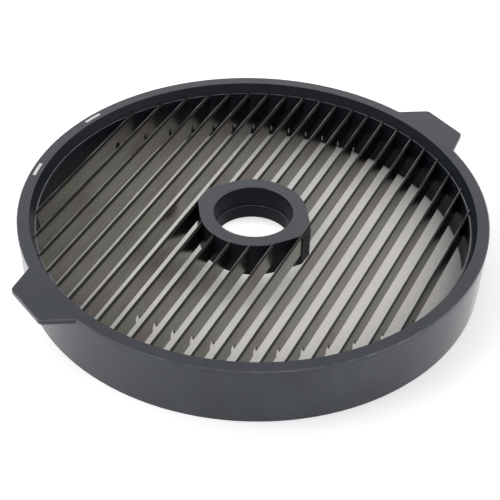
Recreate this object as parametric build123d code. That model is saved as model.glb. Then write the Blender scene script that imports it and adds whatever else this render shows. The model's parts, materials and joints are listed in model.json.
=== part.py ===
from build123d import *
import os
from math import cos, hypot, radians, sin, sqrt

os.makedirs("parts", exist_ok=True)

# Chipping disc: a plastic ring that holds a grid of parallel steel blades around a plastic hub.
# The origin is on the ring axis, in the plane the ring stands on. The blades run along Y.

# Ring wall, drafted outside and bevelled at its inner lower edge
ring_h = 28.9
rim_r = 103.0
wall_draft = 1.2
wall_t = 7.6
rim_edge = 0.4
base_edge = 0.15
foot_bevel = 1.6

# Mouth of the ring: a steep funnel, a narrow ledge and the tapered band that holds the blades
rim_w = 5.35
funnel_drop = 4.5
ledge_w = 0.6
band_taper = 0.85

# Blades
blade_count = 21
last_gap = 9.7
blade_t = 0.7
blade_drop = 3.4
blade_h = 11.0
bevel_h = 2.0
edge_land = 0.15
seat_depth = 3.3
slit_offset = 22.0
slit_w = 3.4
slit_h = 3.4

# Hub, fitted between the two full blades that run through its lugs
hub_gap = 1.8
hub_drop = 3.5
hub_h = 16.5
hub_seat = 1.2
hub_edge = 0.3
hub_wall = 6.2
bore_depth = 10.1
bore_ledge = 0.7
lug_lines = 3
lug_wall = 0.7
lug_flat = 7.4
lug_turn = 3.2

# Ears at the rim
ear_angle = 61.7
ear_reach = 10.5
ear_tip_w = 23.2
ear_slope = 0.61
ear_t = 2.3
ear_corner = 2.4
ear_blend = 1.0

# White index marks in the rim top
mark_angle = 178.6
mark_spread = 13.4
mark_arc = 5.2
mark_w = 1.45
mark_inset = 1.9
mark_t = 0.6

base_r = rim_r - wall_draft
mouth_r = rim_r - rim_w
band_r = base_r - wall_t
ledge_r = band_r + band_taper
seat_r = ledge_r + seat_depth
half_count = blade_count // 2
pitch = (ledge_r - last_gap - blade_t / 2) / half_count
blade_top = ring_h - blade_drop
blade_low = blade_top - blade_h
hub_top = ring_h - hub_drop
hub_low = hub_top - hub_h
lug_blade_x = lug_lines * pitch
hub_r = lug_blade_x - hub_gap
bore_r = hub_r - hub_wall
lower_bore_r = bore_r - bore_ledge
lug_x = lug_blade_x + blade_t / 2 + lug_wall
lug_step_z = blade_top - bevel_h


def chord(radius, x):
    """Half length of the chord of a circle at the offset x."""
    return sqrt(radius**2 - x**2)


def rim_plate():
    """Flat top of the ring with both ears, bevelled along its upper outer edge."""
    tip_x = rim_r + ear_reach
    root_x = (mouth_r + rim_r) / 2
    tip_y = ear_tip_w / 2
    root_y = tip_y + ear_slope * (tip_x - root_x)
    ear = make_face(
        Polyline((root_x, -root_y), (tip_x, -tip_y), (tip_x, tip_y), (root_x, root_y), close=True)
    )
    outline = Circle(rim_r)
    for turn in (ear_angle, ear_angle + 180):
        outline += Rot(0, 0, turn) * ear
    far = rim_r + ear_reach / 2
    tips = [v for v in outline.vertices() if hypot(v.X, v.Y) > far]
    outline = fillet(tips, ear_corner)
    roots = [v for v in outline.vertices() if abs(hypot(v.X, v.Y) - rim_r) < ear_blend / 10]
    outline = fillet(roots, ear_blend)
    plate = extrude(Pos(0, 0, ring_h - ear_t) * outline, ear_t)
    top = plate.faces().sort_by(Axis.Z)[-1]
    return chamfer(top.edges(), rim_edge)


def turned(points):
    """Body turned around the ring axis from the half section given by the points."""
    return revolve(Plane.XZ * make_face(Polyline(*points, close=True)), Axis.Z)


def ring_body():
    """Rim plate and drafted wall, opened by the funnel, the blade band and the straight wall below it."""
    rim_z = ring_h - ear_t
    ledge_z = ring_h - funnel_drop
    wall = turned([(0, 0), (base_r - base_edge, 0), (base_r, base_edge), (rim_r, rim_z), (0, rim_z)])
    opening = turned(
        [
            (0, 0),
            (band_r + foot_bevel, 0),
            (band_r, foot_bevel),
            (band_r, blade_low),
            (ledge_r, ledge_z),
            (ledge_r + ledge_w, ledge_z),
            (mouth_r, ring_h),
            (0, ring_h),
        ]
    )
    return wall + rim_plate() - opening


def index_mark(angle):
    """White strip that lies flush in the rim top."""
    outer = rim_r - mark_inset
    inner = outer - mark_w
    half = radians(mark_arc / 2)
    arc_out = CenterArc((0, 0), outer, -mark_arc / 2, mark_arc)
    arc_in = CenterArc((0, 0), inner, -mark_arc / 2, mark_arc)
    ends = [
        Line((inner * cos(half), side * inner * sin(half)), (outer * cos(half), side * outer * sin(half)))
        for side in (-1, 1)
    ]
    strip = make_face([arc_out, arc_in] + ends)
    return Rot(0, 0, angle) * extrude(Pos(0, 0, ring_h - mark_t) * strip, mark_t)


def blade(x, y_low, y_high, y_slit):
    """Steel strip on edge at the offset x, ground to an edge on top, with one slit in its lower edge."""
    side = blade_t / 2
    land = edge_land / 2
    section = make_face(
        Polyline(
            (-side, blade_low),
            (side, blade_low),
            (side, blade_top - bevel_h),
            (land, blade_top),
            (-land, blade_top),
            (-side, blade_top - bevel_h),
            close=True,
        )
    )
    strip = Pos(x, y_low, 0) * extrude(Plane.XZ * section, -(y_high - y_low))
    slot = SlotOverall(2 * slit_h, slit_w, rotation=90)
    return strip - Pos(x, y_slit, blade_low) * extrude(Plane.YZ * slot, blade_t, both=True)


def blades():
    """All blades by name, the lines that cross the hub split into a rear and a front blade."""
    found = {}
    for number in range(blade_count):
        x = (number - half_count) * pitch
        end = chord(seat_r, abs(x) + blade_t / 2)
        slit = end - slit_offset
        name = f"blade_{number + 1:02d}"
        if abs(number - half_count) < lug_lines:
            start = chord(hub_r - hub_seat, x)
            found[name + "_rear"] = blade(x, start, end, slit)
            found[name + "_front"] = blade(x, -end, -start, -slit)
        elif number < half_count:
            found[name] = blade(x, -end, end, slit)
        else:
            found[name] = blade(x, -end, end, -slit)
    return found


def hub_body():
    """Bush with a stepped bore and two lugs, cut down outside the full blades that run through them."""
    round_part = Circle(hub_r)
    lugs = Rot(0, 0, -lug_turn) * Rectangle(2 * lug_x, lug_flat)
    outline = make_hull(round_part.edges() + lugs.edges())
    body = extrude(Pos(0, 0, hub_low) * outline, hub_h)
    body -= Pos(0, 0, hub_low) * extrude(Circle(lower_bore_r), hub_h)
    body -= Pos(0, 0, hub_top - bore_depth) * extrude(Circle(bore_r), bore_depth)
    top = body.faces().sort_by(Axis.Z)[-1]
    body = chamfer(top.edges(), hub_edge)
    step = Pos(0, 0, lug_step_z) * extrude(Rectangle(2 * hub_r, 2 * hub_r), hub_h)
    for side in (-1, 1):
        body -= Pos(side * (lug_blade_x + hub_r), 0, 0) * step
    return body


grid = blades()
marks = {
    "index_mark_rear": index_mark(mark_angle - mark_spread),
    "index_mark_front": index_mark(mark_angle + mark_spread),
}

frame_ring = ring_body()
for mark in marks.values():
    frame_ring -= mark

hub = hub_body()
for strip in grid.values():
    frame_ring -= strip
    hub -= strip

nodes = {"frame_ring": frame_ring, "hub": hub, **grid, **marks}
for name, solid in nodes.items():
    solid.label = name
    export_step(solid, f"parts/{name}.step")
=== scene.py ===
import json
import math
import bpy
from mathutils import Matrix, Vector


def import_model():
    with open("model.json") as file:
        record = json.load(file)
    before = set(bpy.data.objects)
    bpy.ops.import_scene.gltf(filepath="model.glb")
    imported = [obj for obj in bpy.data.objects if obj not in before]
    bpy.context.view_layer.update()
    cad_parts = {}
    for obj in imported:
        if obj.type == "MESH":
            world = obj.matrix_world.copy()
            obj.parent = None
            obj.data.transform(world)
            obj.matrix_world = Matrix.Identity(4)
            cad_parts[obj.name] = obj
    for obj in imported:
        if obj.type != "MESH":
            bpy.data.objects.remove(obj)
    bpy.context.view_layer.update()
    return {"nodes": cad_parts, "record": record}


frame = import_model()
nodes = frame["nodes"]
scene = bpy.context.scene
scene.view_settings.view_transform = "Standard"

MM = 0.001

# Disc: mouth of the rim, ledge under the funnel, ledge in the bore, outer wall, hub with its lugs, blade grid
MOUTH_R = 97.65 * MM
LEDGE_R = (95.05 * MM, 95.65 * MM)
BORE_R = (16.8 * MM, 17.5 * MM)
WALL_R = (101.0 * MM, 103.1 * MM)
HUB_REACH = 29.0 * MM
GRID_REACH = 80.0 * MM

# Floor: foot of the ring, and painted light on the floor under the grid. It fades outwards from its
# middle into painted shade, more so at the left front and at the right, and in front of the hub.
RING_FOOT_R = 98.0 * MM
GRID_LIGHT = Vector((4.0, 5.0, 0.0)) * MM
GRID_LIGHT_R = (60.0 * MM, 88.0 * MM)
GRID_SHADE_LEFT_X = (-68.0 * MM, -42.0 * MM)
GRID_SHADE_LEFT_Y = (-5.0 * MM, 15.0 * MM)
GRID_SHADE_RIGHT_X = (66.0 * MM, 92.0 * MM)
GRID_GLOW = (0.275, 0.06)
SIDE_SHADE_SHARE = 0.4
HUB_SHADE_R = (24.0 * MM, 31.0 * MM)
HUB_SHADE_Y = (-5.0 * MM, -20.0 * MM)
HUB_SHADE_SOFT = 7.0 * MM
HUB_SHADE_SHARE = 0.62

# Painted light on the floor around the ring, stronger on the left than on the right
AROUND_X = (-110.0 * MM, 60.0 * MM)
AROUND_GLOW = (0.62, 0.44)

# Painted pool of light where the floor shows through the bore: two discs, one seen past the upper
# and one past the lower end
BORE_VIEWS = [Vector((-13.3, 29.3, 0.0)) * MM, Vector((-4.6, 10.3, 0.0)) * MM]
BORE_VIEW_R = 20.0 * MM
POOL_FADE_R = (22.0 * MM, 29.0 * MM)
POOL_GLOW = 0.36

# Plastic
PLASTIC = [(0.3, (0.014, 0.018, 0.026)), (0.7, (0.022, 0.027, 0.036))]
PLASTIC_OUTER = [(0.35, (0.004, 0.010, 0.020)), (0.65, (0.022, 0.031, 0.046))]
# Painted shade on the walls inside the ring, the hub's walls and the bore
PLASTIC_INNER_SHADE = (0.0105, 0.0135, 0.019)
PLASTIC_HUB = (0.032, 0.036, 0.044)
# Painted highlight on the bevels
PAINTED_EDGE_HIGHLIGHT = (0.15, 0.155, 0.17)
# Painted highlight on the two narrow ledges
LIT_LEDGE = (0.165, 0.17, 0.185)

# Steel
STEEL = [(0.3, (0.163, 0.160, 0.149)), (0.7, (0.275, 0.270, 0.253))]
STEEL_TINT = [(0.36, (0.93, 0.81, 0.76)), (0.5, (0.99, 0.98, 0.945)), (0.64, (0.95, 1.01, 0.89))]
STEEL_SPECK = [(0.3, (0.82, 0.82, 0.82)), (0.7, (1.0, 1.0, 1.0))]
# Painted shade on the blade bevels, darkest at the left
STEEL_BEVEL_SHADE = [(0.0, (0.085, 0.082, 0.076)), (1.0, (0.19, 0.182, 0.17))]
# Painted highlights in patches along the land on top of the blades
STEEL_LAND_HIGHLIGHT = [(0.4, (0.08, 0.078, 0.074)), (0.62, (0.38, 0.375, 0.36))]

# Index marks, floor and room
MARK_WHITE = [(0.3, (0.61, 0.61, 0.61)), (0.7, (0.68, 0.68, 0.68))]
PAPER = [(0.3, (0.79, 0.76, 0.725)), (0.7, (0.87, 0.84, 0.805))]
PAPER_GLOW = (1.0, 0.985, 0.955)
PALE_FLOOR = (0.82, 0.82, 0.82)
WHITE = (1.0, 1.0, 1.0)
SKY = [
    (0.0, (0.4, 0.4, 0.41)),
    (0.3, (0.5, 0.5, 0.51)),
    (0.5, WHITE),
    (0.6, (0.87, 0.87, 0.87)),
    (0.71, (0.62, 0.62, 0.63)),
    (1.0, (0.7, 0.7, 0.71)),
]
ROOM = [(0.0, (0.4, 0.4, 0.41)), (0.3, (0.55, 0.55, 0.56)), (0.5, WHITE)]
ROOM_LIGHT = 1.4

# Lamp and camera
LAMP_PLACE = Vector((-0.6, -0.5, 1.0))
LAMP_SIZE = 0.6
LAMP_POWER = 4.0
CAMERA_PLACE = Vector((190.67, -420.11, 389.49)) * MM
CAMERA_AIM = Vector((11.90, -28.60, 28.99)) * MM
CAMERA_ROLL = math.radians(1.6)
CAMERA_LENS = 96.03


def material(name):
    """New material, with its node tree and its main shader."""
    m = bpy.data.materials.new(name)
    m.use_nodes = True
    tree = m.node_tree
    return m, tree, tree.nodes["Principled BSDF"]


def add(tree, kind, **values):
    """Node of a kind, with input sockets or settings given by name."""
    n = tree.nodes.new(kind)
    for key, value in values.items():
        if key in n.inputs:
            n.inputs[key].default_value = value
        else:
            setattr(n, key, value)
    return n


def coords(tree, scale=(1, 1, 1), shift=(0, 0, 0)):
    """Object coordinates, stretched and shifted."""
    tex = add(tree, "ShaderNodeTexCoord")
    mapping = add(tree, "ShaderNodeMapping", Scale=scale, Location=shift)
    tree.links.new(tex.outputs["Object"], mapping.inputs["Vector"])
    return mapping.outputs["Vector"]


def axis(tree, vector, name):
    """One component of a vector."""
    split = add(tree, "ShaderNodeSeparateXYZ")
    tree.links.new(vector, split.inputs[0])
    return split.outputs[name]


def noise(tree, scale, stretch=(1, 1, 1), detail=4.0):
    """Noise in object coordinates."""
    n = add(tree, "ShaderNodeTexNoise", Scale=scale, Detail=detail, Roughness=0.55)
    tree.links.new(coords(tree, stretch), n.inputs["Vector"])
    return n.outputs["Fac"]


def ramp(tree, fac, stops):
    """Colour ramp through stops of position and colour."""
    r = add(tree, "ShaderNodeValToRGB")
    elements = r.color_ramp.elements
    for element, (place, color) in zip(elements, (stops[0], stops[-1])):
        element.position = place
        element.color = (*color, 1)
    for place, color in stops[1:-1]:
        elements.new(place).color = (*color, 1)
    tree.links.new(fac, r.inputs["Fac"])
    return r.outputs["Color"]


def remap(tree, value, low, high, at_low, at_high):
    """Straight rise or fall from at_low to at_high, held beyond both ends."""
    r = add(tree, "ShaderNodeMapRange")
    for socket, limit in zip(r.inputs[1:5], (low, high, at_low, at_high)):
        socket.default_value = limit
    tree.links.new(value, r.inputs[0])
    return r.outputs[0]


def connect(tree, value, socket):
    """Link a node's output to a socket, or set the socket to a number or colour."""
    if isinstance(value, tuple):
        socket.default_value = (*value, 1)
    elif isinstance(value, (int, float)):
        socket.default_value = value
    else:
        tree.links.new(value, socket)


def math_node(tree, operation, *values):
    """Arithmetic on outputs and numbers."""
    n = add(tree, "ShaderNodeMath", operation=operation)
    for socket, value in zip(n.inputs, values):
        connect(tree, value, socket)
    return n.outputs[0]


def blend(tree, fac, a, b, kind="MIX"):
    """Mix of two colours."""
    n = add(tree, "ShaderNodeMix", data_type="RGBA", blend_type=kind)
    connect(tree, fac, n.inputs[0])
    connect(tree, a, n.inputs[6])
    connect(tree, b, n.inputs[7])
    return n.outputs[2]


def facing_up(tree):
    """1 on a level top face, 0 on an upright wall."""
    tex = add(tree, "ShaderNodeTexCoord")
    return axis(tree, tex.outputs["Normal"], "Z")


def radius(tree, center=Vector((0, 0, 0))):
    """Distance from an upright axis."""
    n = add(tree, "ShaderNodeVectorMath", operation="LENGTH")
    tree.links.new(coords(tree, (1, 1, 0), -center), n.inputs[0])
    return n.outputs["Value"]


def between(tree, value, low, high, soft):
    """1 from low to high, fading to 0 on both sides."""
    rise = remap(tree, value, low - soft, low, 0.0, 1.0)
    fall = remap(tree, value, high, high + soft, 1.0, 0.0)
    return math_node(tree, "MULTIPLY", rise, fall)


def bump(tree, shader, level, strength, distance):
    """Fine relief."""
    b = add(tree, "ShaderNodeBump", Strength=strength, Distance=distance)
    tree.links.new(level, b.inputs["Height"])
    tree.links.new(b.outputs["Normal"], shader.inputs["Normal"])


def plastic():
    """Satin moulded plastic of the ring and the hub."""
    m, tree, shader = material("frame_plastic")
    up = facing_up(tree)
    away = radius(tree)
    # Painted shade darkens the walls inside the ring, hub and bore too; they are duller below the funnel
    wall = remap(tree, up, 0.8, 0.6, 0.0, 1.0)
    within = remap(tree, away, MOUTH_R, MOUTH_R + 0.3 * MM, 1.0, 0.0)
    inner = math_node(tree, "MULTIPLY", wall, within)
    below = remap(tree, away, LEDGE_R[1], LEDGE_R[1] + 0.2 * MM, 1.0, 0.45)
    dull = math_node(tree, "MULTIPLY", inner, below)
    outer = math_node(tree, "MULTIPLY", wall, between(tree, away, *WALL_R, 0.3 * MM))
    hub = remap(tree, away, HUB_REACH, HUB_REACH + 1.0 * MM, 1.0, 0.0)
    # Painted highlights on the bevels and on the two narrow ledges, broken into patches by noise
    highlight_patches = remap(tree, noise(tree, 160.0, detail=5.0), 0.35, 0.65, 0.3, 0.85)
    edge_highlight = math_node(tree, "MULTIPLY", between(tree, up, 0.66, 0.76, 0.08), highlight_patches)
    flat = remap(tree, up, 0.9, 0.98, 0.0, 1.0)
    ring_ledge = between(tree, away, *LEDGE_R, 0.1 * MM)
    bore_ledge = between(tree, away, *BORE_R, 0.1 * MM)
    ledges = math_node(tree, "MULTIPLY", flat, math_node(tree, "ADD", ring_ledge, bore_ledge))
    lit = math_node(tree, "MULTIPLY", ledges, highlight_patches)
    base = ramp(tree, noise(tree, 24.0, detail=6.0), PLASTIC)
    base = blend(tree, hub, base, PLASTIC_HUB)
    base = blend(tree, outer, base, ramp(tree, noise(tree, 45.0, (1, 1, 0.5), detail=3.0), PLASTIC_OUTER))
    # Painted shade on the walls inside the ring
    base = blend(tree, inner, base, PLASTIC_INNER_SHADE)
    # Painted highlight on the bevels
    base = blend(tree, edge_highlight, base, PAINTED_EDGE_HIGHLIGHT)
    # Painted highlight on the two narrow ledges
    tree.links.new(blend(tree, lit, base, LIT_LEDGE), shader.inputs["Base Color"])
    streak = remap(tree, noise(tree, 70.0, (1, 1, 0.1)), 0.3, 0.7, 0.13, 0.27)
    matte = math_node(tree, "MULTIPLY_ADD", dull, 0.3, streak)
    matte = math_node(tree, "MULTIPLY_ADD", outer, -0.07, matte)
    tree.links.new(matte, shader.inputs["Roughness"])
    sheen = math_node(tree, "MULTIPLY_ADD", outer, 0.04, remap(tree, dull, 0.0, 1.0, 0.5, 0.15))
    tree.links.new(sheen, shader.inputs["Specular IOR Level"])
    bump(tree, shader, noise(tree, 2200.0, detail=3.0), 0.10, 0.04 * MM)
    return m


def steel():
    """Rolled steel of the blades, with grain along them and a ground edge."""
    m, tree, shader = material("blade_steel")
    shader.inputs["Metallic"].default_value = 1.0
    up = facing_up(tree)
    grain = noise(tree, 900.0, (1, 0.06, 1), detail=5.0)
    tint = ramp(tree, noise(tree, 40.0, (3.0, 1.0, 1.0), detail=2.0), STEEL_TINT)
    speck = ramp(tree, noise(tree, 1500.0, detail=2.0), STEEL_SPECK)
    face = blend(tree, 1.0, ramp(tree, grain, STEEL), tint, "MULTIPLY")
    face = blend(tree, 1.0, face, speck, "MULTIPLY")
    # The ground bevels below the edge are duller than the rolled faces and get painted shade, darkest at the
    # left, and the land on top gets painted highlights in patches
    bevel = between(tree, up, 0.10, 0.50, 0.06)
    bevel_shade_across = remap(tree, axis(tree, coords(tree), "X"), -GRID_REACH, GRID_REACH, 0.0, 1.0)
    face = blend(tree, bevel, face, ramp(tree, bevel_shade_across, STEEL_BEVEL_SHADE))
    land = remap(tree, up, 0.6, 0.9, 0.0, 1.0)
    land_highlight = ramp(tree, noise(tree, 45.0), STEEL_LAND_HIGHLIGHT)
    tree.links.new(blend(tree, land, face, land_highlight), shader.inputs["Base Color"])
    smooth = remap(tree, grain, 0.3, 0.7, 0.16, 0.24)
    tree.links.new(math_node(tree, "MULTIPLY_ADD", bevel, 0.45, smooth), shader.inputs["Roughness"])
    bump(tree, shader, grain, 0.12, 0.01 * MM)
    return m


def white():
    """Plain white of the index marks."""
    m, tree, shader = material("mark_white")
    tree.links.new(ramp(tree, noise(tree, 700.0), MARK_WHITE), shader.inputs["Base Color"])
    shader.inputs["Roughness"].default_value = 0.5
    return m


def floor():
    """Pale floor, white to the eye around the ring, with paper-toned strips of painted light and shade
    between the blades and a painted pool of light under the bore.
    """
    bpy.ops.mesh.primitive_plane_add(size=6.0, location=(0, 0, 0))
    o = bpy.context.object
    o.name = "floor"
    m, tree, shader = material("floor_pale")
    away = radius(tree)
    outside = remap(tree, away, RING_FOOT_R - 1.0 * MM, RING_FOOT_R + 1.0 * MM, 0.0, 1.0)
    # Painted pool of light under the hub and the bore
    lens = remap(tree, away, *POOL_FADE_R, 1.0, 0.4)
    for view in BORE_VIEWS:
        disc = remap(tree, radius(tree, view), BORE_VIEW_R - 1.5 * MM, BORE_VIEW_R, 1.0, 0.0)
        lens = math_node(tree, "MULTIPLY", lens, disc)
    light_pool = math_node(tree, "MAXIMUM", lens, remap(tree, away, 0.5 * BORE_R[0], BORE_R[0], 1.0, 0.0))
    bright = math_node(tree, "MAXIMUM", outside, light_pool)
    paper = ramp(tree, noise(tree, 900.0, detail=2.0), PAPER)
    tree.links.new(blend(tree, bright, paper, PALE_FLOOR), shader.inputs["Base Color"])
    shader.inputs["Roughness"].default_value = 0.9
    shader.inputs["Specular IOR Level"].default_value = 0.0
    # Strips between the blades: painted light, fading into painted shade towards the ring,
    # at both sides and in front of the hub
    x = axis(tree, coords(tree), "X")
    y = axis(tree, coords(tree), "Y")
    strips = remap(tree, radius(tree, GRID_LIGHT), *GRID_LIGHT_R, *GRID_GLOW)
    front = remap(tree, y, *HUB_SHADE_Y, 0.0, 1.0)
    shade = math_node(tree, "MULTIPLY", front, between(tree, away, *HUB_SHADE_R, HUB_SHADE_SOFT))
    strips = math_node(tree, "MULTIPLY", strips, remap(tree, shade, 0.0, 1.0, 1.0, HUB_SHADE_SHARE))
    left = remap(tree, x, *GRID_SHADE_LEFT_X, 0.0, 1.0)
    left = math_node(tree, "MAXIMUM", left, remap(tree, y, *GRID_SHADE_LEFT_Y, 0.0, 1.0))
    right = remap(tree, x, *GRID_SHADE_RIGHT_X, 1.0, 0.0)
    sides = math_node(tree, "MULTIPLY", left, right)
    strips = math_node(tree, "MULTIPLY", strips, remap(tree, sides, 0.0, 1.0, SIDE_SHADE_SHARE, 1.0))
    # White around the ring, with painted light stronger on the left, and a painted pool of light under the
    # bore
    painted_side_light = remap(tree, x, *AROUND_X, *AROUND_GLOW)
    around = math_node(tree, "ADD", painted_side_light, remap(tree, light_pool, 0.0, 1.0, 0.0, POOL_GLOW))
    path = add(tree, "ShaderNodeLightPath")
    seen = math_node(tree, "MAXIMUM", path.outputs["Is Camera Ray"], path.outputs["Is Glossy Ray"])
    seen = math_node(tree, "MAXIMUM", seen, path.outputs["Is Transmission Ray"])
    level = math_node(tree, "MULTIPLY_ADD", bright, math_node(tree, "SUBTRACT", around, strips), strips)
    tree.links.new(math_node(tree, "MULTIPLY", seen, level), shader.inputs["Emission Strength"])
    tree.links.new(blend(tree, bright, PAPER_GLOW, WHITE), shader.inputs["Emission Color"])
    o.data.materials.append(m)


def world():
    """Soft room light, brightest at eye level behind the disc and dim in front of it."""
    w = bpy.data.worlds.new("studio")
    scene.world = w
    w.use_nodes = True
    tree = w.node_tree
    direction = add(tree, "ShaderNodeTexCoord").outputs["Generated"]
    sky = ramp(tree, axis(tree, direction, "Z"), SKY)
    room = ramp(tree, remap(tree, axis(tree, direction, "Y"), -1.0, 1.0, 0.0, 1.0), ROOM)
    back = tree.nodes["Background"]
    tree.links.new(blend(tree, 1.0, sky, room, "MULTIPLY"), back.inputs["Color"])
    back.inputs["Strength"].default_value = ROOM_LIGHT


def lamp():
    """Soft lamp on the left, aimed at the disc."""
    data = bpy.data.lights.new("side", "AREA")
    data.shape = "SQUARE"
    data.size = LAMP_SIZE
    data.energy = LAMP_POWER
    o = bpy.data.objects.new("side", data)
    scene.collection.objects.link(o)
    o.location = LAMP_PLACE
    o.rotation_euler = (-LAMP_PLACE).to_track_quat("-Z", "Y").to_euler()


def camera():
    """Camera at the photograph's angle."""
    data = bpy.data.cameras.new("photo_camera")
    data.sensor_width = 36.0
    data.lens = CAMERA_LENS
    o = bpy.data.objects.new("photo_camera", data)
    scene.collection.objects.link(o)
    look = (CAMERA_AIM - CAMERA_PLACE).to_track_quat("-Z", "Y").to_matrix().to_4x4()
    o.matrix_world = Matrix.Translation(CAMERA_PLACE) @ look @ Matrix.Rotation(CAMERA_ROLL, 4, "Z")
    scene.camera = o


looks = {"frame_plastic": plastic(), "blade_steel": steel(), "mark_white": white()}
for part in frame["record"]["subparts"]:
    o = nodes[part["node"]]
    o.data.materials.clear()
    o.data.materials.append(looks[part["material_slot"]])

floor()
world()
lamp()
camera()
